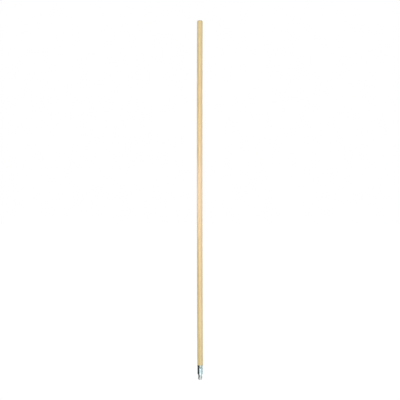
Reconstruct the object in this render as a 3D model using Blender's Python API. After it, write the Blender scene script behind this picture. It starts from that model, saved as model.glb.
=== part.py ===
"""Roller extension pole: a lacquered wooden pole with a threaded steel tip pinned to its end.

Frame: metres, +Z along the pole, from the threaded tip up to the butt end. The origin is the centre
of the tip's flat end face, so the pole stands on its tip.

The tip is one piece of formed sheet steel: a sleeve over the pole's turned-down tenon, a conical
shoulder, and a hollow rolled Acme thread that a roller frame's handle screws onto. Brads through the
sleeve hold it to the wood.
"""

import math

import bmesh
import bpy
from mathutils import Matrix, Vector

MM = 0.001
INCH = 0.0254

# Pole: a stock round of 15/16 in, 60 in long over the tip
OVERALL_LENGTH = 60 * INCH
POLE_RADIUS = 15 / 32 * INCH
BUTT_EDGE_RADIUS = 4.0 * MM
COLLAR_CHAMFER = 0.7 * MM
SPIGOT_CHAMFER = 1.0 * MM

# Tip: heights above its end face, and outside radii
SHEET = 0.8 * MM
TIP_LENGTH = 62.0 * MM
SLEEVE_RADIUS = POLE_RADIUS - 0.25 * MM
SLEEVE_START = 24.8 * MM
CONE_END = 18.4 * MM
NOSE_RADIUS = 1.0 * MM
VENT_RADIUS = 2.0 * MM
SHOULDER_BEND_RADIUS = 3.0 * MM
NECK_BEND_RADIUS = 1.5 * MM

# Crimp: a groove rolled into the sleeve and the tenon under it
CRIMP_HEIGHT = 52.5 * MM
CRIMP_DEPTH = 0.6 * MM
CRIMP_HALF_WIDTH = 1.6 * MM

# Thread: 3/4-5 Acme, right-handed
THREAD_CREST_RADIUS = 3 / 8 * INCH
THREAD_PITCH = INCH / 5
THREAD_ROOT_RADIUS = 7.45 * MM
THREAD_CREST_WIDTH = 0.37 * THREAD_PITCH
THREAD_FLANK = math.tan(math.radians(14.5))
THREAD_START = 2.8 * MM
THREAD_TURNS = 2.625
RUN_IN_TURNS = 0.25
RUN_OUT_TURNS = 0.125

# Brads: two on each side of the sleeve, one above the other. Their sides are turned from +X.
BRAD_HEIGHTS = {"upper": 47.0 * MM, "lower": 35.0 * MM}
BRAD_TURN = math.radians(-32)
BRAD_SIDES = {"right": BRAD_TURN, "left": BRAD_TURN + math.pi}
BRAD_LENGTH = 8.5 * MM
BRAD_SHANK_RADIUS = 0.85 * MM
BRAD_HEAD_RADIUS = 1.9 * MM
BRAD_HEAD_THICKNESS = 0.55 * MM
BRAD_HEAD_BEVEL = 0.16 * MM
BRAD_POINT = 2.0 * MM

# Gaps between the pieces. The spigot stops short of the tip's closed end.
SPIGOT_SHORTFALL = 1.5 * MM
TENON_GAP = 0.2 * MM
COLLAR_GAP = 0.3 * MM
BRAD_HOLE_GAP = 0.15 * MM
HEAD_GAP = 0.1 * MM
HOLE_OVERCUT = 2.0 * MM

# Facets: in a full turn of the pole and of a brad, then across each feature of an outline
ROUND_STEPS = 48
BRAD_STEPS = 16
BUTT_EDGE_STEPS = 8
RIM_STEPS = 3
CRIMP_STEPS = 4
BEND_STEPS = 3
NOSE_STEPS = 4
SHARP_ANGLE = math.radians(35)
MERGE_DISTANCE = 0.001 * MM

# Materials: name, colour, roughness, metallic value
WOOD = ("lacquered_wood", (0.74, 0.56, 0.31), 0.38, 0.0)
PLATED_STEEL = ("zinc_plated_steel", (0.66, 0.74, 0.76), 0.2, 1.0)
BRAD_STEEL = ("brad_steel", (0.55, 0.57, 0.58), 0.35, 1.0)


def clear_scene():
    for obj in list(bpy.data.objects):
        bpy.data.objects.remove(obj, do_unlink=True)


def make_material(name, colour, roughness, metallic):
    material = bpy.data.materials.new(name)
    material.use_nodes = True
    shader = material.node_tree.nodes["Principled BSDF"]
    shader.inputs["Base Color"].default_value = (*colour, 1.0)
    shader.inputs["Roughness"].default_value = roughness
    shader.inputs["Metallic"].default_value = metallic
    return material


def link_object(name, mesh):
    obj = bpy.data.objects.new(name, mesh)
    bpy.context.scene.collection.objects.link(obj)
    return obj


def arc(centre, radius, start_deg, end_deg, steps):
    """Points of a circular arc in the (radius, height) plane, from one angle to the other."""
    points = []
    for i in range(steps + 1):
        angle = math.radians(start_deg + (end_deg - start_deg) * i / steps)
        points.append((centre[0] + radius * math.cos(angle), centre[1] + radius * math.sin(angle)))
    return points


def crimp_points(radius):
    """The crimp's rolled groove on a wall of this radius, from its top edge to its bottom edge."""
    points = []
    for i in range(CRIMP_STEPS + 1):
        share = 1 - 2 * i / CRIMP_STEPS
        depth = CRIMP_DEPTH * 0.5 * (1 + math.cos(math.pi * share))
        points.append((radius - depth, CRIMP_HEIGHT + share * CRIMP_HALF_WIDTH))
    return points


def bend(corner, before, after, radius):
    """A corner between two straight lines, rounded to a radius. All are (radius, height) points."""
    corner = Vector(corner)
    into = (corner - Vector(before)).normalized()
    out = (Vector(after) - corner).normalized()
    turn = into.angle(out)
    setback = radius * math.tan(turn / 2)
    start = corner - into * setback
    end = corner + out * setback
    centre = corner + (out - into).normalized() * (radius / math.cos(turn / 2))
    points = []
    for i in range(BEND_STEPS + 1):
        share = i / BEND_STEPS
        spoke = (start - centre).normalized().slerp((end - centre).normalized(), share)
        points.append(tuple(centre + spoke * radius))
    return points


def lathe(name, profile, steps):
    """A round piece: a (radius, height) outline screwed once about Z. It runs down its outer side."""
    mesh = bpy.data.meshes.new(name)
    edges = [(i, i + 1) for i in range(len(profile) - 1)]
    mesh.from_pydata([(r, 0.0, z) for r, z in profile], edges, [])
    obj = link_object(name, mesh)
    screw = obj.modifiers.new("Turn", "SCREW")
    screw.axis = "Z"
    screw.angle = 2 * math.pi
    screw.steps = steps
    screw.render_steps = steps
    screw.use_merge_vertices = True
    screw.merge_threshold = MERGE_DISTANCE
    return obj


def cut_holes(obj, cutters):
    for cutter in cutters:
        boolean = obj.modifiers.new(cutter.name, "BOOLEAN")
        boolean.operation = "DIFFERENCE"
        boolean.solver = "EXACT"
        boolean.object = cutter


def apply_modifiers(obj):
    """Bakes the modifiers into the object's own mesh and shades its round faces smooth."""
    graph = bpy.context.evaluated_depsgraph_get()
    mesh = bpy.data.meshes.new_from_object(obj.evaluated_get(graph), depsgraph=graph)
    mesh.name = obj.name
    mesh.shade_smooth()
    mesh.set_sharp_from_angle(angle=SHARP_ANGLE)
    obj.modifiers.clear()
    obj.data = mesh


def ring(bm, radius, height):
    """One loop of points round the axis."""
    loop = []
    for i in range(ROUND_STEPS):
        angle = 2 * math.pi * i / ROUND_STEPS
        loop.append(bm.verts.new((radius * math.cos(angle), radius * math.sin(angle), height)))
    return loop


def join_rings(bm, one, other):
    for i in range(ROUND_STEPS):
        bm.faces.new((one[i - 1], one[i], other[i], other[i - 1]))


def turned_wall(bm, outline):
    """A wall turned from (radius, height) points. Gives its first and last ring."""
    rings = [ring(bm, radius, height) for radius, height in outline]
    for one, other in zip(rings, rings[1:]):
        join_rings(bm, one, other)
    return rings[0], rings[-1]


def thread_section(root_radius, crest_radius, crest_width):
    """One pitch of the thread as (radius, height) points: up a flank, over the crest and down."""
    base_width = crest_width + 2 * THREAD_FLANK * (crest_radius - root_radius)
    return (
        (root_radius, -base_width / 2),
        (crest_radius, -crest_width / 2),
        (crest_radius, crest_width / 2),
        (root_radius, base_width / 2),
    )


def threaded_wall(bm, section, bottom_ring, top_ring):
    """A helical thread between two rings of its root radius, fading out towards both of them.

    The section climbs one pitch each turn, and the turns share their edges, so the wall is one
    surface. What is left between the first and last turn and the rings is closed by flat faces.
    """
    root_radius = section[0][0]
    last = round(THREAD_TURNS * ROUND_STEPS)
    columns = []
    for k in range(last + 1):
        turns = k / ROUND_STEPS
        rise = min(1.0, turns / RUN_IN_TURNS, (THREAD_TURNS - turns) / RUN_OUT_TURNS)
        angle = 2 * math.pi * turns
        column = []
        for radius, height in section:
            r = root_radius + (radius - root_radius) * rise
            z = THREAD_START + THREAD_PITCH * turns + height
            column.append(bm.verts.new((r * math.cos(angle), r * math.sin(angle), z)))
        columns.append(column)
    # Each column ends where the section of the turn above it starts.
    for k, column in enumerate(columns):
        if k + ROUND_STEPS <= last:
            column.append(columns[k + ROUND_STEPS][0])
    for one, other in zip(columns, columns[1:]):
        for i in range(1, min(len(one), len(other))):
            bm.faces.new((one[i - 1], other[i - 1], other[i], one[i]))
    close_thread_start(bm, columns, bottom_ring)
    close_thread_end(bm, columns, top_ring)


def fan(bm, hub, points):
    """Triangles from one point to each stretch of a line, so that no flat ear is left over."""
    for one, other in zip(points, points[1:]):
        bm.faces.new((hub, one, other))


def close_thread_start(bm, columns, bottom_ring):
    """Fills from a ring up to the first turn, whose own start is one side of the last face."""
    for k in range(ROUND_STEPS - 1):
        bm.faces.new((bottom_ring[k], bottom_ring[k + 1], columns[k + 1][0], columns[k][0]))
    hub = columns[ROUND_STEPS - 1][0]
    fan(bm, hub, [bottom_ring[-1], bottom_ring[0], *columns[0]])


def close_thread_end(bm, columns, top_ring):
    """Fills from the last turn up to a ring, whose own end is one side of the first face."""
    last = len(columns) - 1
    first = last - ROUND_STEPS
    crest_row = len(columns[last]) - 1
    for k in range(first + 1, last):
        here, there = k % ROUND_STEPS, (k + 1) % ROUND_STEPS
        bm.faces.new((columns[k][-1], columns[k + 1][-1], top_ring[there], top_ring[here]))
    here, there = first % ROUND_STEPS, (first + 1) % ROUND_STEPS
    hub = columns[first + 1][-1]
    fan(bm, hub, [columns[first][crest_row], *columns[last], top_ring[here], top_ring[there]])


def cone_corners(offset):
    """Top and bottom corners of the conical shoulder, moved inwards by an offset from the outside."""
    top = Vector((SLEEVE_RADIUS, SLEEVE_START))
    bottom = Vector((THREAD_ROOT_RADIUS, CONE_END))
    slope = (top - bottom).angle(Vector((0, 1)))
    # Moving a wall inwards by an offset lifts its corner with the cone by this much.
    lift = offset * math.tan(slope / 2)
    return (top.x - offset, top.y + lift), (bottom.x - offset, bottom.y + lift)


def ferrule_outside():
    """The sheet's outer side, above and below the thread, from the rim down to the vent's edge."""
    rim_top = (SLEEVE_RADIUS - SHEET / 2, TIP_LENGTH - SHEET / 2)
    cone_top, cone_bottom = cone_corners(0.0)
    nose_centre = (THREAD_ROOT_RADIUS - NOSE_RADIUS, NOSE_RADIUS)
    above = [
        *arc(rim_top, SHEET / 2, 90, 0, RIM_STEPS),
        *crimp_points(SLEEVE_RADIUS),
        *bend(cone_top, (SLEEVE_RADIUS, TIP_LENGTH), cone_bottom, SHOULDER_BEND_RADIUS),
        *bend(cone_bottom, cone_top, (THREAD_ROOT_RADIUS, 0.0), NECK_BEND_RADIUS),
    ]
    below = [*arc(nose_centre, NOSE_RADIUS, 0, -90, NOSE_STEPS), (VENT_RADIUS, 0.0)]
    return above, below


def ferrule_inside():
    """The sheet's inner side, below and above the thread, from the vent's edge up to the rim."""
    sleeve_inside = SLEEVE_RADIUS - SHEET
    root_inside = THREAD_ROOT_RADIUS - SHEET
    rim_top = (SLEEVE_RADIUS - SHEET / 2, TIP_LENGTH - SHEET / 2)
    cone_top, cone_bottom = cone_corners(SHEET)
    nose_centre = (THREAD_ROOT_RADIUS - NOSE_RADIUS, NOSE_RADIUS)
    below = [(VENT_RADIUS, SHEET), *arc(nose_centre, NOSE_RADIUS - SHEET, -90, 0, NOSE_STEPS)]
    above = [
        *bend(cone_bottom, (root_inside, 0.0), cone_top, NECK_BEND_RADIUS + SHEET),
        *bend(cone_top, cone_bottom, (sleeve_inside, TIP_LENGTH), SHOULDER_BEND_RADIUS - SHEET),
        *reversed(crimp_points(sleeve_inside)),
        *arc(rim_top, SHEET / 2, 180, 90, RIM_STEPS)[:-1],
    ]
    return below, above


def pole_outline():
    """The wooden pole's half outline, from the centre of its butt end down to its spigot's end."""
    tenon_radius = SLEEVE_RADIUS - SHEET - TENON_GAP
    spigot_radius = THREAD_ROOT_RADIUS - SHEET - TENON_GAP
    spigot_end = SHEET + SPIGOT_SHORTFALL
    collar = TIP_LENGTH + COLLAR_GAP
    cone_top, cone_bottom = cone_corners(SHEET + TENON_GAP)
    butt_centre = (POLE_RADIUS - BUTT_EDGE_RADIUS, OVERALL_LENGTH - BUTT_EDGE_RADIUS)
    return [
        (0.0, OVERALL_LENGTH),
        *arc(butt_centre, BUTT_EDGE_RADIUS, 90, 0, BUTT_EDGE_STEPS),
        (POLE_RADIUS, collar + COLLAR_CHAMFER),
        (POLE_RADIUS - COLLAR_CHAMFER, collar),
        (tenon_radius, collar),
        *crimp_points(tenon_radius),
        cone_top,
        cone_bottom,
        (spigot_radius, spigot_end + SPIGOT_CHAMFER),
        (spigot_radius - SPIGOT_CHAMFER, spigot_end),
        (0.0, spigot_end),
    ]


def brad_outline():
    """A flat-headed brad's half outline about its own axis, with the head's underside at height 0."""
    return [
        (0.0, BRAD_HEAD_THICKNESS),
        (BRAD_HEAD_RADIUS - BRAD_HEAD_BEVEL, BRAD_HEAD_THICKNESS),
        (BRAD_HEAD_RADIUS, BRAD_HEAD_THICKNESS - BRAD_HEAD_BEVEL),
        (BRAD_HEAD_RADIUS, 0.0),
        (BRAD_SHANK_RADIUS, 0.0),
        (BRAD_SHANK_RADIUS, BRAD_POINT - BRAD_LENGTH),
        (0.0, -BRAD_LENGTH),
    ]


def brad_placement(side_angle, height, seat_radius):
    """Where a brad sits: its axis is level and points straight out of the pole."""
    outward = Matrix.Rotation(side_angle, 4, "Z") @ Matrix.Rotation(math.pi / 2, 4, "Y")
    place = Matrix.Rotation(side_angle, 4, "Z") @ Vector((seat_radius, 0.0, height))
    return Matrix.Translation(place) @ outward


def brad_hole_cutters():
    """One cutter for each brad, a little wider than its shank, from outside the sleeve inwards."""
    radius = BRAD_SHANK_RADIUS + BRAD_HOLE_GAP
    length = BRAD_LENGTH + BRAD_HOLE_GAP
    outline = [(0.0, HOLE_OVERCUT), (radius, HOLE_OVERCUT), (radius, -length), (0.0, -length)]
    cutters = []
    for side, angle in BRAD_SIDES.items():
        for level, height in BRAD_HEIGHTS.items():
            cutter = lathe(f"cut_{side}_{level}", outline, BRAD_STEPS)
            cutter.matrix_world = brad_placement(angle, height, SLEEVE_RADIUS)
            cutter.hide_render = True
            cutter.display_type = "WIRE"
            cutters.append(cutter)
    return cutters


def make_pole(holes, material):
    pole = lathe("pole_shaft", pole_outline(), ROUND_STEPS)
    cut_holes(pole, holes)
    apply_modifiers(pole)
    pole.data.materials.append(material)


def make_ferrule(holes, material):
    outside_above, outside_below = ferrule_outside()
    inside_below, inside_above = ferrule_inside()
    # The sheet keeps its thickness round the crest, so the hollow under the crest is narrower.
    flank_angle = math.atan(THREAD_FLANK)
    hollow_width = THREAD_CREST_WIDTH - 2 * SHEET * math.tan((math.pi / 2 - flank_angle) / 2)
    outside_thread = thread_section(THREAD_ROOT_RADIUS, THREAD_CREST_RADIUS, THREAD_CREST_WIDTH)
    inside_thread = thread_section(
        THREAD_ROOT_RADIUS - SHEET, THREAD_CREST_RADIUS - SHEET, hollow_width
    )
    bm = bmesh.new()
    rim, neck = turned_wall(bm, outside_above)
    nose, vent = turned_wall(bm, outside_below)
    vent_inside, nose_inside = turned_wall(bm, inside_below)
    neck_inside, rim_inside = turned_wall(bm, inside_above)
    threaded_wall(bm, outside_thread, nose, neck)
    threaded_wall(bm, inside_thread, nose_inside, neck_inside)
    join_rings(bm, vent, vent_inside)
    join_rings(bm, rim_inside, rim)
    bmesh.ops.recalc_face_normals(bm, faces=bm.faces)
    mesh = bpy.data.meshes.new("threaded_ferrule")
    bm.to_mesh(mesh)
    bm.free()
    ferrule = link_object("threaded_ferrule", mesh)
    cut_holes(ferrule, holes)
    apply_modifiers(ferrule)
    ferrule.data.materials.append(material)


def make_brads(material):
    pattern = lathe("brad_pattern", brad_outline(), BRAD_STEPS)
    apply_modifiers(pattern)
    pattern.data.materials.append(material)
    for side, angle in BRAD_SIDES.items():
        for level, height in BRAD_HEIGHTS.items():
            brad = link_object(f"brad_{side}_{level}", pattern.data)
            brad.matrix_world = brad_placement(angle, height, SLEEVE_RADIUS + HEAD_GAP)
    bpy.data.objects.remove(pattern)


def main():
    clear_scene()
    holes = brad_hole_cutters()
    make_pole(holes, make_material(*WOOD))
    make_ferrule(holes, make_material(*PLATED_STEEL))
    make_brads(make_material(*BRAD_STEEL))


main()
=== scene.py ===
"""Roller extension pole: its visible surfaces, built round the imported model's frame.

Metres, +Z from the threaded tip up to the butt end, and the camera looks along +Y. Three kinds of
piece stand for the CAD nodes: a turned wooden pole, a threaded tip of thin plated sheet, and the
brads that hold the tip on.
"""

import math

import bmesh
import bpy
from mathutils import Matrix, Vector, noise


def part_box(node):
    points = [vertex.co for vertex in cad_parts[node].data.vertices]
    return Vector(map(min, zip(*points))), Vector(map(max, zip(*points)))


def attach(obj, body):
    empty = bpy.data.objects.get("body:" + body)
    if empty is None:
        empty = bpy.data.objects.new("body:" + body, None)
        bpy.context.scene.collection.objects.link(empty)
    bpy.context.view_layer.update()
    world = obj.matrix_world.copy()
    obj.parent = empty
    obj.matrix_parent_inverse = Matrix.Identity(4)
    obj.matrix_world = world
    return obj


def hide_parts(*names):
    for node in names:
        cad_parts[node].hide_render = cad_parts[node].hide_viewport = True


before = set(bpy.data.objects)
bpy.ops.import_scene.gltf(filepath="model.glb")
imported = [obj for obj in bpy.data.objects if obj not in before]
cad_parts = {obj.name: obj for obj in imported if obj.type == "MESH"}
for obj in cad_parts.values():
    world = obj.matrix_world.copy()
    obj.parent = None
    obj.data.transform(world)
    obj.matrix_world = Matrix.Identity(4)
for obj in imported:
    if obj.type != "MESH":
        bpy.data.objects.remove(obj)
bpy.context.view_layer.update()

MM = 0.001

# Read from the frame
POLE_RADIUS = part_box("pole_shaft")[1].x
POLE_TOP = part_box("pole_shaft")[1].z
SPIGOT_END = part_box("pole_shaft")[0].z
SLEEVE_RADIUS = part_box("threaded_ferrule")[1].x
TIP_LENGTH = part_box("threaded_ferrule")[1].z
BRADS = ("brad_right_upper", "brad_right_lower", "brad_left_upper", "brad_left_lower")

# Wooden pole
BUTT_EDGE_RADIUS = 4.0 * MM
COLLAR_GAP = 0.1 * MM
COLLAR_CHAMFER = 0.7 * MM
SPIGOT_CHAMFER = 1.0 * MM
TENON_GAP = 0.2 * MM

# A turned pole is never quite straight or round: this one bows towards -X, swells here and there
# and keeps the marks of the lathe tool and the saw. Marks are counted per metre across and along.
BOW = 1.5 * MM
SWELL_DEPTH = 0.06 * MM
SWELLS = Vector((40, 40, 7))
TOOL_DEPTH = 0.02 * MM
TOOL_MARKS = Vector((400, 400, 9))
SAW_DEPTH = 0.05 * MM
SAW_LINES = 900
SAW_SLANT = 260
SAW_BREAKS = 120

# Tip: one sheet thickness, heights above its end face, outside radii
SHEET = 0.8 * MM
SLEEVE_START = 24.8 * MM
CONE_END = 18.4 * MM
ROOT_RADIUS = 7.45 * MM
NOSE_RADIUS = 1.0 * MM
VENT_RADIUS = 2.0 * MM
VENT_LIP_RADIUS = 0.3 * MM
SHOULDER_BEND_RADIUS = 3.0 * MM
NECK_BEND_RADIUS = 1.5 * MM
CRIMP_HEIGHT = 52.5 * MM
CRIMP_DEPTH = 0.6 * MM
CRIMP_HALF_WIDTH = 1.6 * MM

# Thread: 3/4-5 Acme, right-handed, rolled, so its corners are rounded, but never so far that two of
# them meet on a crest
THREAD_CREST_RADIUS = 9.525 * MM
THREAD_PITCH = 5.08 * MM
THREAD_CREST_WIDTH = 0.37 * THREAD_PITCH
THREAD_FLANK = math.tan(math.radians(14.5))
THREAD_START = 2.8 * MM
THREAD_TURNS = 2.625
RUN_IN_TURNS = 0.25
RUN_OUT_TURNS = 0.125
THREAD_CORNER_RADIUS = 0.38 * MM
CREST_WIDTH_IN_CORNERS = 2.2

# Brads, whose right side is turned from +X, with the dish that hammering leaves round them and the
# dents that it leaves on their heads, shifted from one brad to the next
BRAD_TURN = math.radians(-32)
HEAD_RADIUS = 1.9 * MM
HEAD_THICKNESS = 0.6 * MM
HEAD_EDGE_RADIUS = 0.2 * MM
HEAD_CROWN = 0.12 * MM
SHANK_RADIUS = 0.85 * MM
BRAD_LENGTH = 8.5 * MM
BRAD_POINT = 2.0 * MM
DISH_DEPTH = 0.22 * MM
DISH_RADIUS = 2.6 * MM
DENT_DEPTH = 0.05 * MM
DENTS_PER_METRE = 500
DENT_SHIFT = 9

# Facets: columns round a piece, rows along its straight stretches, steps in its bends, and the
# radius of the small face in the middle of a closed end
POLE_COLUMNS = 128
TIP_COLUMNS = 144
BRAD_COLUMNS = 48
POLE_ROWS = 480
BUTT_ROWS = 14
BUTT_EDGE_STEPS = 16
COLLAR_ROWS = 2
RIM_STEPS = 6
CRIMP_STEPS = 16
RIM_TO_CRIMP_ROWS = 12
SLEEVE_ROWS = 40
CONE_ROWS = 12
BEND_STEPS = 8
CORNER_STEPS = 4
FACE_ROWS = 3
HIDDEN_STEPS = 4
HEAD_ROWS = 8
POLE_CENTRE = 0.3 * MM
BRAD_CENTRE = 0.05 * MM
SHARP_ANGLE = math.radians(40)


# ---------------------------------------------------------------- outlines


def arc(centre, radius, start_deg, end_deg, steps):
    """Points of a circular arc in the (radius, height) plane, from one angle to the other."""
    points = []
    for i in range(steps + 1):
        angle = math.radians(start_deg + (end_deg - start_deg) * i / steps)
        points.append((centre[0] + radius * math.cos(angle), centre[1] + radius * math.sin(angle)))
    return points


def line(start, end, steps):
    """Evenly spaced points from start to end, without start itself."""
    start, end = Vector(start), Vector(end)
    return [tuple(start.lerp(end, i / steps)) for i in range(1, steps + 1)]


def bend(corner, before, after, radius, steps):
    """A corner between two straight lines, rounded to a radius. All are (radius, height) points."""
    corner = Vector(corner)
    into = (corner - Vector(before)).normalized()
    out = (Vector(after) - corner).normalized()
    turn = into.angle(out)
    setback = radius * math.tan(turn / 2)
    start = corner - into * setback
    end = corner + out * setback
    centre = corner + (out - into).normalized() * (radius / math.cos(turn / 2))
    points = []
    for i in range(steps + 1):
        spoke = (start - centre).normalized().slerp((end - centre).normalized(), i / steps)
        points.append(tuple(centre + spoke * radius))
    return points


def crimp(radius, steps):
    """The crimp's rolled groove on a wall of this radius, from its top edge to its bottom edge."""
    points = []
    for i in range(steps + 1):
        share = 1 - 2 * i / steps
        depth = CRIMP_DEPTH * 0.5 * (1 + math.cos(math.pi * share))
        points.append((radius - depth, CRIMP_HEIGHT + share * CRIMP_HALF_WIDTH))
    return points


def cone_corners(offset):
    """Top and bottom corners of the conical shoulder, moved inwards by an offset from the outside."""
    top = Vector((SLEEVE_RADIUS, SLEEVE_START))
    bottom = Vector((ROOT_RADIUS, CONE_END))
    slope = (top - bottom).angle(Vector((0, 1)))
    lift = offset * math.tan(slope / 2)
    return (top.x - offset, top.y + lift), (bottom.x - offset, bottom.y + lift)


# ---------------------------------------------------------------- meshes


def ring(bm, radius, height, columns):
    loop = []
    for i in range(columns):
        angle = 2 * math.pi * i / columns
        loop.append(bm.verts.new((radius * math.cos(angle), radius * math.sin(angle), height)))
    return loop


def join_rings(bm, one, other):
    for i in range(len(one)):
        bm.faces.new((one[i - 1], one[i], other[i], other[i - 1]))


def turned_wall(bm, outline, columns):
    """A wall turned from (radius, height) points. Gives its first and last ring."""
    rings = [ring(bm, radius, height, columns) for radius, height in outline]
    for one, other in zip(rings, rings[1:]):
        join_rings(bm, one, other)
    return rings[0], rings[-1]


def finish_mesh(bm, name):
    """Makes an object of the mesh, in place, with its faces pointing out and its curves smooth."""
    bmesh.ops.recalc_face_normals(bm, faces=bm.faces)
    mesh = bpy.data.meshes.new(name)
    bm.to_mesh(mesh)
    bm.free()
    mesh.shade_smooth()
    mesh.set_sharp_from_angle(angle=SHARP_ANGLE)
    obj = bpy.data.objects.new(name, mesh)
    bpy.context.scene.collection.objects.link(obj)
    return obj


def turned_solid(outline, columns):
    """A closed turned shape. The outline's first and last points are small rings, capped flat."""
    bm = bmesh.new()
    first, last = turned_wall(bm, outline, columns)
    bm.faces.new(first)
    bm.faces.new(last)
    return bm


# ---------------------------------------------------------------- wooden pole


def pole_outline():
    """From the middle of the butt end, down the side and over the tenon, to the spigot's end."""
    tenon = SLEEVE_RADIUS - SHEET - TENON_GAP
    spigot = ROOT_RADIUS - SHEET - TENON_GAP
    collar = TIP_LENGTH + COLLAR_GAP
    cone_top, cone_bottom = cone_corners(SHEET + TENON_GAP)
    edge = (POLE_RADIUS - BUTT_EDGE_RADIUS, POLE_TOP - BUTT_EDGE_RADIUS)
    side_top = (POLE_RADIUS, POLE_TOP - BUTT_EDGE_RADIUS)
    chamfer_top = (POLE_RADIUS, collar + COLLAR_CHAMFER)
    chamfer_bottom = (POLE_RADIUS - COLLAR_CHAMFER, collar)
    return [
        (POLE_CENTRE, POLE_TOP),
        *line((POLE_CENTRE, POLE_TOP), (edge[0], POLE_TOP), BUTT_ROWS),
        *arc(edge, BUTT_EDGE_RADIUS, 90, 0, BUTT_EDGE_STEPS)[1:],
        *line(side_top, chamfer_top, POLE_ROWS),
        *line(chamfer_top, chamfer_bottom, COLLAR_ROWS),
        *line(chamfer_bottom, (tenon, collar), COLLAR_ROWS),
        *crimp(tenon, CRIMP_STEPS // 2),
        cone_top,
        cone_bottom,
        (spigot, SPIGOT_END + SPIGOT_CHAMFER),
        (spigot - SPIGOT_CHAMFER, SPIGOT_END),
        (POLE_CENTRE, SPIGOT_END),
    ]


def bow_wood(bm):
    """Bends the pole off its axis above the tip, most of all half way up."""
    for vert in bm.verts:
        share = max(0.0, (vert.co.z - TIP_LENGTH) / (POLE_TOP - TIP_LENGTH))
        vert.co.x -= BOW * 4 * share * (1 - share)


def roughen_wood(bm):
    """Small unevenness that turning and sawing leave: the side swells, the butt keeps saw lines."""
    for vert in bm.verts:
        x, y, z = vert.co
        if z < TIP_LENGTH:
            continue
        radius = math.hypot(x, y)
        out = Vector((x, y, 0)) / radius
        swell = SWELL_DEPTH * noise.noise(vert.co * SWELLS)
        tooling = TOOL_DEPTH * noise.noise(vert.co * TOOL_MARKS)
        vert.co += out * (swell + tooling) * min(1.0, radius / POLE_RADIUS) ** 2
        if z > POLE_TOP - BUTT_EDGE_RADIUS:
            saw = noise.noise(Vector((x * SAW_SLANT + y * SAW_LINES, y * SAW_BREAKS, 0)))
            vert.co.z += SAW_DEPTH * (saw - 1)


def make_pole(material):
    bm = turned_solid(pole_outline(), POLE_COLUMNS)
    roughen_wood(bm)
    bow_wood(bm)
    pole = finish_mesh(bm, "wooden_pole")
    pole.data.materials.append(material)
    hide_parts("pole_shaft")
    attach(pole, "root")
    return pole


# ---------------------------------------------------------------- threaded tip


def thread_section(root, crest, crest_width):
    """One pitch of the thread as (radius, height) points, with its four corners rounded."""
    base_width = crest_width + 2 * THREAD_FLANK * (crest - root)
    below = (root, -THREAD_PITCH / 2)
    above = (root, THREAD_PITCH / 2)
    foot, shoulder = (root, -base_width / 2), (crest, -crest_width / 2)
    far_shoulder, far_foot = (crest, crest_width / 2), (root, base_width / 2)
    radius = min(THREAD_CORNER_RADIUS, crest_width / CREST_WIDTH_IN_CORNERS)
    return [
        *bend(foot, below, shoulder, radius, CORNER_STEPS),
        *bend(shoulder, foot, far_shoulder, radius, CORNER_STEPS),
        *bend(far_shoulder, shoulder, far_foot, radius, CORNER_STEPS),
        *bend(far_foot, far_shoulder, above, radius, CORNER_STEPS),
    ]


def threaded_wall(bm, section, bottom_ring, top_ring):
    """A helical thread between two rings of its root radius, fading out towards both of them.

    The section climbs one pitch each turn, and the turns share their edges, so the wall is one
    surface. What is left between the first and last turn and the rings is closed by flat faces.
    """
    steps = len(bottom_ring)
    root = section[0][0]
    last = round(THREAD_TURNS * steps)
    columns = []
    for k in range(last + 1):
        turns = k / steps
        ends = min(1.0, turns / RUN_IN_TURNS, (THREAD_TURNS - turns) / RUN_OUT_TURNS)
        rise = ends * ends * (3 - 2 * ends)
        angle = 2 * math.pi * turns
        column = []
        for radius, height in section:
            r = root + (radius - root) * rise
            z = THREAD_START + THREAD_PITCH * turns + height
            column.append(bm.verts.new((r * math.cos(angle), r * math.sin(angle), z)))
        columns.append(column)
    # Each column ends where the section of the turn above it starts.
    for k, column in enumerate(columns):
        if k + steps <= last:
            column.append(columns[k + steps][0])
    for one, other in zip(columns, columns[1:]):
        for i in range(1, min(len(one), len(other))):
            bm.faces.new((one[i - 1], other[i - 1], other[i], one[i]))
    close_thread_start(bm, columns, bottom_ring)
    close_thread_end(bm, columns, top_ring)


def fan(bm, hub, points):
    for one, other in zip(points, points[1:]):
        bm.faces.new((hub, one, other))


def close_thread_start(bm, columns, bottom_ring):
    """Fills from a ring up to the first turn, whose own start is one side of the last face."""
    steps = len(bottom_ring)
    for k in range(steps - 1):
        bm.faces.new((bottom_ring[k], bottom_ring[k + 1], columns[k + 1][0], columns[k][0]))
    fan(bm, columns[steps - 1][0], [bottom_ring[-1], bottom_ring[0], *columns[0]])


def close_thread_end(bm, columns, top_ring):
    """Fills from the last turn up to a ring, whose own end is one side of the first face."""
    steps = len(top_ring)
    last = len(columns) - 1
    first = last - steps
    top_row = len(columns[last]) - 1
    for k in range(first + 1, last):
        here, there = k % steps, (k + 1) % steps
        bm.faces.new((columns[k][-1], columns[k + 1][-1], top_ring[there], top_ring[here]))
    here, there = first % steps, (first + 1) % steps
    hub = columns[first + 1][-1]
    fan(bm, hub, [columns[first][top_row], *columns[last], top_ring[here], top_ring[there]])


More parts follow.
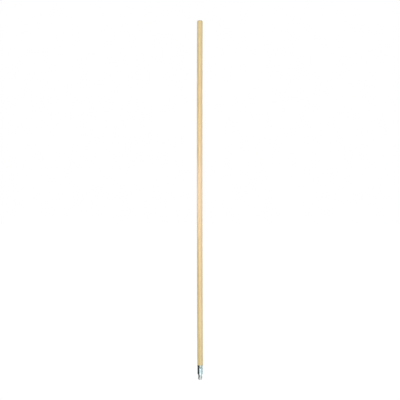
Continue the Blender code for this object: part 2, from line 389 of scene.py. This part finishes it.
def tip_outside():
    """The sheet's outer side above and below the thread, from the rim down to the vent's edge."""
    rim = (SLEEVE_RADIUS - SHEET / 2, TIP_LENGTH - SHEET / 2)
    sleeve_top = (SLEEVE_RADIUS, rim[1])
    cone_top, cone_bottom = cone_corners(0.0)
    nose = (ROOT_RADIUS - NOSE_RADIUS, NOSE_RADIUS)
    vent_lip = (VENT_RADIUS + VENT_LIP_RADIUS, VENT_LIP_RADIUS)
    groove = crimp(SLEEVE_RADIUS, CRIMP_STEPS)
    shoulder = bend(cone_top, sleeve_top, cone_bottom, SHOULDER_BEND_RADIUS, BEND_STEPS)
    neck = bend(cone_bottom, cone_top, (ROOT_RADIUS, 0.0), NECK_BEND_RADIUS, BEND_STEPS)
    above = [
        *arc(rim, SHEET / 2, 90, 0, RIM_STEPS),
        *line(sleeve_top, groove[0], RIM_TO_CRIMP_ROWS),
        *groove[1:],
        *line(groove[-1], shoulder[0], SLEEVE_ROWS),
        *shoulder[1:],
        *line(shoulder[-1], neck[0], CONE_ROWS),
        *neck[1:],
    ]
    below = [
        *arc(nose, NOSE_RADIUS, 0, -90, BEND_STEPS),
        *line((nose[0], 0.0), (vent_lip[0], 0.0), FACE_ROWS),
        *arc(vent_lip, VENT_LIP_RADIUS, 270, 180, HIDDEN_STEPS)[1:],
    ]
    return above, below


def tip_inside():
    """The sheet's inner side below and above the thread, from the vent's edge up to the rim."""
    sleeve = SLEEVE_RADIUS - SHEET
    root = ROOT_RADIUS - SHEET
    rim = (SLEEVE_RADIUS - SHEET / 2, TIP_LENGTH - SHEET / 2)
    cone_top, cone_bottom = cone_corners(SHEET)
    nose = (ROOT_RADIUS - NOSE_RADIUS, NOSE_RADIUS)
    neck_bend = NECK_BEND_RADIUS + SHEET
    shoulder_bend = SHOULDER_BEND_RADIUS - SHEET
    below = [(VENT_RADIUS, SHEET), *arc(nose, NOSE_RADIUS - SHEET, -90, 0, HIDDEN_STEPS)]
    above = [
        *bend(cone_bottom, (root, 0.0), cone_top, neck_bend, HIDDEN_STEPS),
        *bend(cone_top, cone_bottom, (sleeve, TIP_LENGTH), shoulder_bend, HIDDEN_STEPS),
        *reversed(crimp(sleeve, CRIMP_STEPS // 2)),
        *arc(rim, SHEET / 2, 180, 120, RIM_STEPS // 2),
    ]
    return below, above


def dish_sheet(bm, seats):
    """Presses the sleeve in round each brad, both sides of the sheet together."""
    for vert in bm.verts:
        if vert.co.z < SLEEVE_START:
            continue
        out = Vector((vert.co.x, vert.co.y, 0)).normalized()
        for seat in seats:
            distance = (out * SLEEVE_RADIUS + Vector((0, 0, vert.co.z)) - seat).length
            vert.co -= out * DISH_DEPTH * math.exp(-((distance / DISH_RADIUS) ** 2))


def make_tip(seats, material):
    outside_above, outside_below = tip_outside()
    inside_below, inside_above = tip_inside()
    # The sheet keeps its thickness round the crest, so the hollow under the crest is narrower.
    flank_angle = math.atan(THREAD_FLANK)
    hollow_width = THREAD_CREST_WIDTH - 2 * SHEET * math.tan((math.pi / 2 - flank_angle) / 2)
    outside_thread = thread_section(ROOT_RADIUS, THREAD_CREST_RADIUS, THREAD_CREST_WIDTH)
    inside_thread = thread_section(ROOT_RADIUS - SHEET, THREAD_CREST_RADIUS - SHEET, hollow_width)
    bm = bmesh.new()
    rim, neck = turned_wall(bm, outside_above, TIP_COLUMNS)
    nose, vent = turned_wall(bm, outside_below, TIP_COLUMNS)
    vent_inside, nose_inside = turned_wall(bm, inside_below, TIP_COLUMNS)
    neck_inside, rim_inside = turned_wall(bm, inside_above, TIP_COLUMNS)
    threaded_wall(bm, outside_thread, nose, neck)
    threaded_wall(bm, inside_thread, nose_inside, neck_inside)
    join_rings(bm, vent, vent_inside)
    join_rings(bm, rim_inside, rim)
    dish_sheet(bm, seats)
    tip = finish_mesh(bm, "plated_tip")
    tip.data.materials.append(material)
    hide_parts("threaded_ferrule")
    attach(tip, "root")


# ---------------------------------------------------------------- brads


def brad_outline():
    """A flat-headed brad about its own axis, from the middle of its head down to its point."""
    rim = HEAD_RADIUS - HEAD_EDGE_RADIUS
    head = []
    for i in range(HEAD_ROWS + 1):
        radius = BRAD_CENTRE + (rim - BRAD_CENTRE) * i / HEAD_ROWS
        head.append((radius, HEAD_THICKNESS - HEAD_CROWN * (radius / rim) ** 2))
    edge = (rim, HEAD_THICKNESS - HEAD_CROWN - HEAD_EDGE_RADIUS)
    return [
        *head,
        *arc(edge, HEAD_EDGE_RADIUS, 90, -60, BEND_STEPS)[1:],
        (rim - HEAD_EDGE_RADIUS, 0.0),
        (SHANK_RADIUS, 0.0),
        (SHANK_RADIUS, BRAD_POINT - BRAD_LENGTH),
        (BRAD_CENTRE, -BRAD_LENGTH),
    ]


def hammer_head(bm, turn):
    """Dents and flattens a brad's head a little, each brad in its own way."""
    for vert in bm.verts:
        x, y, z = vert.co
        if z > 0:
            place = Vector((x * DENTS_PER_METRE + DENT_SHIFT * turn, y * DENTS_PER_METRE, turn))
            vert.co.z -= DENT_DEPTH * (1 + noise.noise(place)) * z / HEAD_THICKNESS


def make_brads(material):
    """Puts each brad where the frame has it. Gives the points on the sleeve that they go through."""
    seats = []
    for turn, node in enumerate(BRADS):
        low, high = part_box(node)
        side = BRAD_TURN if high.x + low.x > 0 else BRAD_TURN + math.pi
        out = Vector((math.cos(side), math.sin(side), 0))
        height = Vector((0, 0, (low.z + high.z) / 2))
        bm = turned_solid(brad_outline(), BRAD_COLUMNS)
        hammer_head(bm, turn)
        outward = Matrix.Rotation(side, 4, "Z") @ Matrix.Rotation(math.pi / 2, 4, "Y")
        sunk = Matrix.Translation(out * (SLEEVE_RADIUS - DISH_DEPTH) + height)
        bmesh.ops.transform(bm, matrix=sunk @ outward, verts=bm.verts)
        brad = finish_mesh(bm, node.replace("brad_", "driven_brad_"))
        brad.data.materials.append(material)
        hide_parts(node)
        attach(brad, "root")
        seats.append(out * SLEEVE_RADIUS + height)
    return seats


# ---------------------------------------------------------------- nodes


class Nodes:
    """Adds nodes to a node tree. Apart from feed and node, each method gives an output.

    A value passed to a method is a number, a colour, or another node's output.
    """

    def __init__(self, tree):
        self.tree = tree

    def feed(self, socket, value):
        if isinstance(value, bpy.types.NodeSocket):
            self.tree.links.new(value, socket)
        elif isinstance(value, tuple) and socket.type == "RGBA":
            socket.default_value = (*value, 1.0)
        else:
            socket.default_value = value

    def node(self, kind, inputs=None, **settings):
        node = self.tree.nodes.new("ShaderNode" + kind)
        for name, value in settings.items():
            setattr(node, name, value)
        for key, value in (inputs or {}).items():
            self.feed(node.inputs[key], value)
        return node

    def math(self, operation, one, other=0.0):
        return self.node("Math", {0: one, 1: other}, operation=operation).outputs[0]

    def vector(self, operation, one, other=(0.0, 0.0, 0.0)):
        return self.node("VectorMath", {0: one, 1: other}, operation=operation).outputs[0]

    def xyz(self, vector):
        return self.node("SeparateXYZ", {0: vector}).outputs

    def add(self, *values):
        total = values[0]
        for value in values[1:]:
            total = self.math("ADD", total, value)
        return total

    def times(self, *values):
        product = values[0]
        for value in values[1:]:
            product = self.math("MULTIPLY", product, value)
        return product

    def subtract(self, one, other):
        return self.math("SUBTRACT", one, other)

    def length(self, one, other):
        """The length of a vector with these two parts."""
        return self.math("SQRT", self.add(self.times(one, one), self.times(other, other)))

    def ease(self, value, start, end, low=0.0, high=1.0):
        """low up to start, high from end on, and a smooth change between them."""
        inputs = {0: value, 1: start, 2: end, 3: low, 4: high}
        return self.node("MapRange", inputs, interpolation_type="SMOOTHSTEP").outputs[0]

    def fade(self, value, start, end):
        """1 up to start, 0 from end on, and a smooth change between them."""
        return self.ease(value, start, end, 1.0, 0.0)

    def mix(self, share, one, other, blend="MIX"):
        inputs = {0: share, 6: one, 7: other}
        return self.node("Mix", inputs, data_type="RGBA", blend_type=blend).outputs[2]

    def blend(self, share, one, other):
        return self.node("Mix", {0: share, 2: one, 3: other}).outputs[0]


class Surface(Nodes):
    """One material, with its Principled BSDF."""

    def __init__(self, name):
        self.material = bpy.data.materials.new(name)
        self.material.use_nodes = True
        super().__init__(self.material.node_tree)
        self.shader = self.tree.nodes["Principled BSDF"]
        self.place = self.node("TexCoord").outputs["Object"]

    def grain(self, width, length, detail=2.0, roughness=0.5):
        """Noise from 0 to 1, its marks this wide across the pole and this long along it."""
        stretched = self.vector("DIVIDE", self.place, (width, width, length))
        inputs = {"Vector": stretched, "Scale": 1.0, "Detail": detail, "Roughness": roughness}
        return self.node("TexNoise", inputs).outputs[0]

    def bump(self, height, distance, strength=1.0, below=None):
        inputs = {"Height": height, "Distance": distance, "Strength": strength}
        if below is not None:
            inputs["Normal"] = below
        return self.node("Bump", inputs).outputs[0]

    def set(self, **values):
        """Feeds the Principled BSDF: base_color is its Base Color input, and so on."""
        for name, value in values.items():
            self.feed(self.shader.inputs[name.replace("_", " ").title()], value)


# ---------------------------------------------------------------- wood

# Grain: how wide its marks are across the pole, how long along it, and where it isn't the usual
# one, the noise's detail and roughness
RING_WANDER = (140 * MM, 700 * MM, 1.0)
RING_RIPPLE = (8 * MM, 500 * MM)
CLOUDS = (33 * MM, 200 * MM)
BANDS = (4.8 * MM, 400 * MM)
FIBRES = (0.67 * MM, 45 * MM, 3.0, 0.6)
HAIRS = (0.22 * MM, 18 * MM)
PORES = (0.42 * MM, 14 * MM, 1.0)
END_SPECKLE = (0.38 * MM, 3.3 * MM, 1.0)
LACQUER_RIPPLE = (2.4 * MM, 6 * MM, 1.0)

# Growth rings: where the tree's centre was, from the pole's axis, how the rings wander, and how
# the late wood rises and falls within a year
TREE_CENTRE = Vector((31 * MM, 52 * MM))
RING_WIDTH = 2.4 * MM
RING_SWAY = 10 * MM
SIDE_SWAY = 0.6
RING_LEAN = 0.007
RIPPLE_YEARS = 0.35
LATE_RISE = (0.35, 0.90)
LATE_FALL = (0.92, 1.0)

# Tones along the pole, and where they change, as distances from its pinkest place
PINK_WOOD = (0.84, 0.61, 0.37)
AMBER_WOOD = (0.78, 0.569, 0.265)
STRAW_WOOD = (0.80, 0.629, 0.297)
PINKEST = 0.53 * POLE_TOP
PINK_TO_AMBER = (0.04, 0.33)
AMBER_TO_STRAW = (0.44, 0.54)
TONE_DRIFT = 0.16

# Tones of the grain, and how much of each shows where it is strongest
LATE_WOOD = (0.47, 0.30, 0.115)
LATE_SHARE = 0.55
RING_SHARE = 0.70
PALE_WOOD = (0.86, 0.70, 0.42)
PALE_SHARE = 0.35
PORE = (0.33, 0.20, 0.08)
PORE_SHARE = 0.45
FIBRE_SHADE = 0.10
HAIR_SHADE = 0.05

# Tones of the cut ends, and how steep a face is before it counts as one
END_WOOD = (0.60, 0.43, 0.205)
LATE_END_WOOD = (0.36, 0.215, 0.08)
LATE_END_SHARE = 0.8
PORE_END = (0.25, 0.15, 0.06)
CUT_SLOPE = (0.55, 0.92)

# What part of a noise counts: its whole middle, its upper side, or only its peaks
NOISE_MIDDLE = (0.30, 0.70)
NOISE_UPPER = (0.35, 0.75)
SPECKLE_PEAKS = (0.55, 0.72)
PORE_PEAKS = (0.66, 0.73)
PORES_IN_LATE_WOOD = 0.05

# Surface: bare wood under a thin satin lacquer, which follows its relief. A bump is the height
# of its relief and its strength.
FIBRE_RELIEF = 0.6
RING_RELIEF = 0.3
PORE_RELIEF = 0.8
LACQUER_RELIEF = 0.8
WOOD_BUMP = (0.05 * MM, 0.5)
LACQUER_BUMP = (0.03 * MM, 0.35)
WOOD_ROUGHNESS = 0.36
FIBRE_ROUGHNESS = 0.16
CUT_ROUGHNESS = 0.2
LACQUER_WEIGHT = 0.25
LACQUER_ROUGHNESS = (0.13, 0.20)


def wood_rings(s):
    """Growth rings, from 0 in the early wood up to 1 in the thin dark late wood.

    The tree's centre runs beside the pole and slightly across it, so the rings run along the
    pole's sides and close in long loops.
    """
    x, y, z = s.xyz(s.place)
    sway = s.times(s.subtract(s.grain(*RING_WANDER), 0.5), RING_SWAY)
    across = s.add(x, TREE_CENTRE.x, sway, s.times(z, RING_LEAN))
    along = s.add(y, TREE_CENTRE.y, s.times(sway, SIDE_SWAY))
    years = s.times(s.length(across, along), 1 / RING_WIDTH)
    phase = s.math("FRACT", s.add(years, s.times(s.grain(*RING_RIPPLE), RIPPLE_YEARS)))
    return s.times(s.ease(phase, *LATE_RISE), s.fade(phase, *LATE_FALL))


def wood_ground(s):
    """The wood's colour without its grain: pinkest above the middle, then amber, straw at the ends."""
    z = s.xyz(s.place)[2]
    drift = s.times(s.subtract(s.grain(*CLOUDS), 0.5), TONE_DRIFT)
    reach = s.add(s.math("ABSOLUTE", s.subtract(z, PINKEST)), drift)
    middle = s.mix(s.ease(reach, *PINK_TO_AMBER), PINK_WOOD, AMBER_WOOD)
    return s.mix(s.ease(reach, *AMBER_TO_STRAW), middle, STRAW_WOOD)


def side_grain(s, rings, fibres, pores):
    """The colour of the pole's side: rings, pale bands, darker and lighter fibres, dark pores."""
    ground = wood_ground(s)
    late = s.mix(LATE_SHARE, ground, LATE_WOOD)
    colour = s.mix(s.times(rings, RING_SHARE), ground, late)
    pale = s.ease(s.grain(*BANDS), *NOISE_UPPER, 0.0, PALE_SHARE)
    colour = s.mix(pale, colour, PALE_WOOD)
    shade = s.times(
        s.ease(fibres, *NOISE_MIDDLE, 1 - FIBRE_SHADE, 1 + FIBRE_SHADE),
        s.ease(s.grain(*HAIRS), *NOISE_MIDDLE, 1 - HAIR_SHADE, 1 + HAIR_SHADE),
    )
    colour = s.mix(1.0, colour, shade, blend="MULTIPLY")
    return s.mix(s.times(pores, PORE_SHARE), colour, PORE)


def end_grain(s, rings):
    """The colour of a cut end, which takes up more lacquer: darker, with clearer rings."""
    colour = s.mix(s.times(rings, LATE_END_SHARE), END_WOOD, LATE_END_WOOD)
    speckle = s.ease(s.grain(*END_SPECKLE), *SPECKLE_PEAKS)
    return s.mix(s.times(speckle, PORE_SHARE), colour, PORE_END)


def wood_material():
    s = Surface("lacquered_wood")
    rings = wood_rings(s)
    fibres = s.grain(*FIBRES)
    # Pores are short dark dashes along the grain, closer together in the late wood.
    dashes = s.add(s.grain(*PORES), s.times(rings, PORES_IN_LATE_WOOD))
    pores = s.ease(dashes, *PORE_PEAKS)
    steepness = s.math("ABSOLUTE", s.xyz(s.node("NewGeometry").outputs["Normal"])[2])
    cut = s.ease(steepness, *CUT_SLOPE)

    ridges = s.add(s.times(fibres, FIBRE_RELIEF), s.times(rings, RING_RELIEF))
    relief = s.subtract(ridges, s.times(pores, PORE_RELIEF))
    lacquer = s.add(s.grain(*LACQUER_RIPPLE), s.times(relief, LACQUER_RELIEF))
    s.set(
        base_color=s.mix(cut, side_grain(s, rings, fibres, pores), end_grain(s, rings)),
        roughness=s.add(WOOD_ROUGHNESS, s.times(fibres, FIBRE_ROUGHNESS), s.times(cut, CUT_ROUGHNESS)),
        normal=s.bump(relief, *WOOD_BUMP),
        coat_weight=LACQUER_WEIGHT,
        coat_roughness=s.ease(fibres, *NOISE_MIDDLE, *LACQUER_ROUGHNESS),
        coat_normal=s.bump(lacquer, *LACQUER_BUMP),
    )
    return s.material


# ---------------------------------------------------------------- metal

# The plating's two tones, and the brads'
ZINC_BLUE = (0.55, 0.715, 0.745)
ZINC_PALE = (0.61, 0.735, 0.75)
BRAD_BRIGHT = (0.40, 0.42, 0.43)
BRAD_DULL = (0.24, 0.25, 0.25)

# Marks on the plating, in the order that they lie over each other: the mark's tone, how much of it
# shows where the mark is strongest, and what the mark then adds to the roughness
MARKS = {
    # Darker, greener plating below the rim: partly lacquer stain, partly painted shade under the wood's
    # collar
    "stain_and_shade": ((0.46, 0.565, 0.47), 0.80, 0.0),
    "threaded": ((0.72, 0.75, 0.74), 0.80, 0.10),
    # Painted shade: dark in the thread roots, and painted shade and dark reflection in and round the
    # crimp on the left, in patches
    "painted_shade": ((0.18, 0.20, 0.18), 0.95, 0.12),
    "rubbed": ((0.80, 0.79, 0.76), 0.60, 0.10),
    "filmed": ((0.66, 0.67, 0.54), 0.80, 0.30),
}
METAL_HIDDEN_BY_FILM = 0.65

# Where the marks lie, as heights from the neck, the crimp or the rim, and places from left to right
THREADED_EDGE = (-1.0 * MM, 1.5 * MM)
RUBBED_DEPTH = 0.35 * MM
# Painted shade in the thread roots
ROOT_SHADE = (0.1 * MM, 1.3 * MM)
ROOT_SHADE_SHARE = 0.4
# Painted shade in the crimp and painted dark reflection round it, both on the left
CRIMP_SHADE_DEPTH = (0.4 * CRIMP_DEPTH, 0.05 * MM)
CRIMP_SHADE_BOTTOM = (-5 * MM, -3 * MM)
DARK_REFLECTION_BOTTOM = (-8 * MM, -3 * MM)
DARK_REFLECTION_TOP = (5 * MM, 8 * MM)
DARK_REFLECTION_SIDE = (0.5 * MM, 6 * MM)
LACQUER_RUNS = 6.0 * MM
# Lacquer stain and painted shade below the rim, mostly on the left
STAIN_AND_SHADE_FADE = (4 * MM, 17 * MM)
STAIN_AND_SHADE_SIDE = (-1 * MM, 5 * MM)
STAIN_AND_SHADE_ON_RIGHT = 0.1
FILM_FADE = (3.5 * MM, 7.0 * MM)
FILM_SIDE = (-2 * MM, 6 * MM)
FILM_REACH = (-1 * MM, 3 * MM)

# Grain: how wide its marks are, how high, and where it isn't the usual one, its detail and roughness
TINT_PATCHES = (18 * MM, 25 * MM)
# Patches of the painted shade, which also set where the thread's crests are rubbed
WEAR_AND_SHADE_PATCHES = (3.8 * MM, 2.4 * MM, 3.0)
SMEARS = (5.6 * MM, 17 * MM, 4.0, 0.6)
LATHE_LINES = (33 * MM, 0.19 * MM, 2.0, 0.7)
FINE_MARKS = (0.43 * MM, 1.1 * MM)
BRAD_PATCHES = (1.4 * MM, 1.4 * MM, 3.0)
BRAD_MARKS = (0.26 * MM, 0.26 * MM)

# What part of each noise counts
TINT_RANGE = (0.35, 0.65)
SMEAR_RANGE = (0.30, 0.75)
# For the patches of painted shade
SHADE_PATCH_RANGE = (0.20, 0.70)
RUBBED_RANGE = (0.35, 0.60)
BRAD_RANGE = (0.35, 0.70)
# How faint the painted shade gets between its patches
THINNEST_SHADE = 0.45

# Surface: roughness, shade and bumps, a bump being the height of its relief and its strength
ZINC_ROUGHNESS = 0.13
SMEAR_ROUGHNESS = 0.14
BRAD_ROUGHNESS = (0.24, 0.49)
LATHE_SHADE = 0.06
LATHE_BUMP = (0.02 * MM, 0.5)
FINE_BUMP = (0.01 * MM, 0.4)
BRAD_BUMP = (0.02 * MM, 0.6)


def thread_marks(s, patch_noise):
    """Where the tip is threaded, where the crests are rubbed, and the painted shade in the roots, 0 to 1.
    """
    x, y, z = s.xyz(s.place)
    radius = s.length(x, y)
    threaded = s.fade(z, *(CONE_END + edge for edge in THREADED_EDGE))
    crest = s.ease(radius, THREAD_CREST_RADIUS - RUBBED_DEPTH, THREAD_CREST_RADIUS)
    rubbed = s.times(crest, threaded, s.ease(patch_noise, *RUBBED_RANGE))
    roots = s.fade(radius, *(ROOT_RADIUS + depth for depth in ROOT_SHADE))
    return threaded, rubbed, s.times(roots, threaded, ROOT_SHADE_SHARE)


def crimp_marks(s):
    """Painted shade in the left part of the crimp, and painted dark reflection across it, 0 to 1."""
    x, y, z = s.xyz(s.place)
    on_left = s.fade(x, *DARK_REFLECTION_SIDE)
    sunk = s.fade(s.length(x, y), *(SLEEVE_RADIUS - depth for depth in CRIMP_SHADE_DEPTH))
    crimp_shade = s.times(sunk, s.ease(z, *(CRIMP_HEIGHT + edge for edge in CRIMP_SHADE_BOTTOM)), on_left)
    above = s.ease(z, *(CRIMP_HEIGHT + edge for edge in DARK_REFLECTION_BOTTOM))
    below = s.fade(z, *(CRIMP_HEIGHT + edge for edge in DARK_REFLECTION_TOP))
    return crimp_shade, s.times(above, below, on_left)


def lacquer_marks(s, smears):
    """Where lacquer stain and painted shade under the wood's collar darken the plating below the rim, and
    where the lacquer lies as a film, 0 to 1.
    """
    x, _, z = s.xyz(s.place)
    below_rim = s.add(s.subtract(TIP_LENGTH, z), s.times(smears, LACQUER_RUNS))
    stain_and_shade = s.times(s.fade(below_rim, *STAIN_AND_SHADE_FADE), s.ease(x, *STAIN_AND_SHADE_SIDE, 1.0, STAIN_AND_SHADE_ON_RIGHT))
    below_film = s.subtract(below_rim, s.ease(x, *FILM_SIDE, *FILM_REACH))
    return stain_and_shade, s.fade(below_film, *FILM_FADE)


def plating_marks(s, smears):
    """Each mark's strength on the plating, from 0 to 1, under its name in MARKS."""
    patch_noise = s.grain(*WEAR_AND_SHADE_PATCHES)
    threaded, rubbed, root_shade = thread_marks(s, patch_noise)
    crimp_shade, dark_reflection = crimp_marks(s)
    stain_and_shade, filmed = lacquer_marks(s, smears)
    # Painted shade in the thread roots and the crimp, and painted dark reflection round the crimp, in
    # patches
    shaded_places = s.math("MAXIMUM", s.add(root_shade, crimp_shade), dark_reflection)
    painted_shade = s.times(shaded_places, s.ease(patch_noise, *SHADE_PATCH_RANGE, THINNEST_SHADE, 1.0))
    return {
        "stain_and_shade": stain_and_shade,
        "threaded": threaded,
        "painted_shade": painted_shade,
        "rubbed": rubbed,
        "filmed": filmed,
    }


def zinc_material():
    s = Surface("zinc_plated_steel")
    smears = s.grain(*SMEARS)
    lathe = s.grain(*LATHE_LINES)
    colour = s.mix(s.ease(s.grain(*TINT_PATCHES), *TINT_RANGE), ZINC_BLUE, ZINC_PALE)
    rough = s.ease(smears, *SMEAR_RANGE, ZINC_ROUGHNESS, ZINC_ROUGHNESS + SMEAR_ROUGHNESS)
    marks = plating_marks(s, smears)
    for name, (tone, share, roughness) in MARKS.items():
        colour = s.mix(s.times(marks[name], share), colour, tone)
        rough = s.add(rough, s.times(marks[name], roughness))
    shade = s.ease(lathe, 0.0, 1.0, 1 - LATHE_SHADE, 1 + LATHE_SHADE)
    lathe_bump = s.bump(lathe, *LATHE_BUMP)
    s.set(
        base_color=s.mix(1.0, colour, shade, blend="MULTIPLY"),
        metallic=s.subtract(1.0, s.times(marks["filmed"], METAL_HIDDEN_BY_FILM)),
        roughness=rough,
        normal=s.bump(s.grain(*FINE_MARKS), *FINE_BUMP, below=lathe_bump),
    )
    return s.material


def brad_material():
    s = Surface("brad_steel")
    patches = s.grain(*BRAD_PATCHES)
    s.set(
        base_color=s.mix(s.ease(patches, *BRAD_RANGE), BRAD_BRIGHT, BRAD_DULL),
        metallic=1.0,
        roughness=s.blend(patches, *BRAD_ROUGHNESS),
        normal=s.bump(s.grain(*BRAD_MARKS), *BRAD_BUMP),
    )
    return s.material


# ---------------------------------------------------------------- studio

# Camera: a long level lens, half way up. POLE_SHARE is the pole's share of the picture's height.
LENS = 100.0
SENSOR_WIDTH = 36.0
POLE_SHARE = 0.8971
CAMERA_SHIFT = Vector((-0.13 * MM, 0, 0.3 * MM))
CAMERA_ROLL = math.radians(0.048)

# Room: what its sides send back, as shares of a white sheet in full light
BACKGROUND = 1.0
FRONT_WALL = 0.4
BACK_WALL = 1.15
CEILING = 0.3
GROUND = 0.8
GROUND_BEHIND = 0.95
GROUND_IN_FRONT = 1.15
GROUND_NEAR = 2.6

# Where one side of the room fades into the next, as parts of a direction of length 1
FRONT_TO_BACK = (-0.1, 0.4)
WALLS_TO_CEILING = (0.2, 0.9)
GROUND_TO_WALLS = (-0.03, 0.03)
BESIDE_TO_BEHIND = (0.0, 0.5)
NEAR_TO_FAR = (-0.6, -0.3)

# Azimuths are 0 towards the camera, and grow towards +X, in radians. The ground in front lies
# between two of them, each a soft edge, and the unlit gap between two others, which shift below.
FRONT_LEFT_EDGE = (-0.65, -0.35)
FRONT_RIGHT_EDGE = (0.5, 0.75)
GAP_DEPTH = 0.97
GAP_RIGHT = math.radians(-40)
GAP_RIGHT_BELOW = math.radians(-62)
GAP_LEFT = math.radians(-142)
GAP_LEFT_BELOW = math.radians(-175)
GAP_SOFTNESS = math.radians(12)
GAP_TOP = 0.1

FLOOR_ALBEDO = 0.7
FLOOR_SEEN_ALBEDO = 0.06
FLOOR_LIFT = 0.95
FLOOR_SIZE = 30.0
FLOOR_GAP = 0.05 * MM

# Soft lights, each aimed level at the pole: place, width and height, and radiance. The second
# group lights the wood only: in the metal they would show as glare in the thread's edges and as
# stripes down the sleeve.
SOFTBOXES = {
    "front_softbox": ((0.12, -2.0, 0.85), (0.5, 1.9), 10.0),
    "left_softbox": ((-0.38, -0.12, 0.80), (0.3, 0.3), 1.3),
}
WOOD_SOFTBOXES = {
    "rear_softbox": ((0.15, 2.0, 0.85), (0.5, 1.9), 7.0),
    "left_fill": ((-0.38, -0.12, 0.80), (0.3, 1.6), 0.40),
    "right_fill": ((0.38, -0.12, 0.80), (0.3, 1.6), 0.35),
}


def gap_share(n, azimuth, z, near):
    """How much of the room's light the unlit gap takes away in a direction, from 0 to 1."""
    right_edge = n.blend(near, GAP_RIGHT, GAP_RIGHT_BELOW)
    left_edge = n.blend(near, GAP_LEFT, GAP_LEFT_BELOW)
    right = n.fade(n.subtract(azimuth, right_edge), -GAP_SOFTNESS, GAP_SOFTNESS)
    left = n.ease(n.subtract(azimuth, left_edge), -GAP_SOFTNESS, GAP_SOFTNESS)
    return n.times(left, right, n.ease(z, 0.0, GAP_TOP, GAP_DEPTH, 0.0))


def room_light(n, direction):
    """What the room sends from a direction: dim in front and overhead, with the gap on the left."""
    x, y, z = n.xyz(direction)
    azimuth = n.math("ARCTAN2", x, n.times(y, -1.0))
    near = n.fade(z, *NEAR_TO_FAR)
    walls = n.ease(y, *FRONT_TO_BACK, FRONT_WALL, BACK_WALL)
    walls = n.times(walls, n.ease(z, *WALLS_TO_CEILING, 1.0, CEILING))
    in_front = n.subtract(n.ease(azimuth, *FRONT_LEFT_EDGE), n.ease(azimuth, *FRONT_RIGHT_EDGE))
    beside = n.ease(y, *BESIDE_TO_BEHIND, GROUND, GROUND_BEHIND)
    ground = n.blend(in_front, beside, n.blend(near, GROUND_IN_FRONT, GROUND_NEAR))
    room = n.blend(n.ease(z, *GROUND_TO_WALLS), ground, walls)
    return n.times(room, n.subtract(1.0, gap_share(n, azimuth, z, near)))


def make_room():
    """The room lights the pole and shows in the metal, and the camera sees plain white instead."""
    world = bpy.data.worlds.new("room")
    world.use_nodes = True
    n = Nodes(world.node_tree)
    light = room_light(n, n.node("TexCoord").outputs["Generated"])
    seen = n.node("LightPath").outputs["Is Camera Ray"]
    background = world.node_tree.nodes["Background"]
    n.feed(background.inputs["Color"], (1.0, 1.0, 1.0))
    n.feed(background.inputs["Strength"], n.blend(seen, light, BACKGROUND))
    bpy.context.scene.world = world


def softbox(name, place, size, radiance):
    light = bpy.data.lights.new(name, "AREA")
    light.shape = "RECTANGLE"
    light.size, light.size_y = size
    light.energy = radiance * math.pi * light.size * light.size_y
    obj = bpy.data.objects.new(name, light)
    bpy.context.scene.collection.objects.link(obj)
    obj.location = place
    towards_pole = Vector((-place[0], -place[1], 0))
    obj.rotation_euler = towards_pole.to_track_quat("-Z", "Y").to_euler()
    obj.visible_camera = False
    return obj


def make_lights(pole):
    wood_only = bpy.data.collections.new("wood_only")
    wood_only.objects.link(pole)
    for name, facts in SOFTBOXES.items():
        softbox(name, *facts)
    for name, facts in WOOD_SOFTBOXES.items():
        softbox(name, *facts).light_linking.receiver_collection = wood_only


def make_floor():
    """A pale floor. It lights the pole from below, and the camera sees it nearly as white as the room."""
    mesh = bpy.data.meshes.new("floor")
    sides = ((-1, -1), (1, -1), (1, 1), (-1, 1))
    mesh.from_pydata([(x * FLOOR_SIZE, y * FLOOR_SIZE, 0) for x, y in sides], [], [(0, 1, 2, 3)])
    floor = bpy.data.objects.new("floor", mesh)
    floor.location.z = -FLOOR_GAP
    bpy.context.scene.collection.objects.link(floor)
    s = Surface("floor")
    seen = s.node("LightPath").outputs["Is Camera Ray"]
    albedo = s.blend(seen, FLOOR_ALBEDO, FLOOR_SEEN_ALBEDO)
    s.set(
        base_color=s.node("CombineColor", {0: albedo, 1: albedo, 2: albedo}).outputs[0],
        roughness=1.0,
        emission_color=(1.0, 1.0, 1.0),
        emission_strength=s.times(seen, FLOOR_LIFT),
    )
    mesh.materials.append(s.material)
    floor.visible_glossy = False


def make_camera():
    camera = bpy.data.cameras.new("camera")
    camera.lens = LENS
    camera.sensor_width = SENSOR_WIDTH
    distance = (POLE_TOP / POLE_SHARE) * LENS / SENSOR_WIDTH
    obj = bpy.data.objects.new("camera", camera)
    obj.location = Vector((0, -distance, POLE_TOP / 2)) + CAMERA_SHIFT
    obj.rotation_euler = (math.pi / 2, CAMERA_ROLL, 0)
    bpy.context.scene.collection.objects.link(obj)
    bpy.context.scene.camera = obj


bpy.context.scene.view_settings.view_transform = "Standard"
wooden_pole = make_pole(wood_material())
brad_seats = make_brads(brad_material())
make_tip(brad_seats, zinc_material())
make_room()
make_lights(wooden_pole)
make_floor()
make_camera()
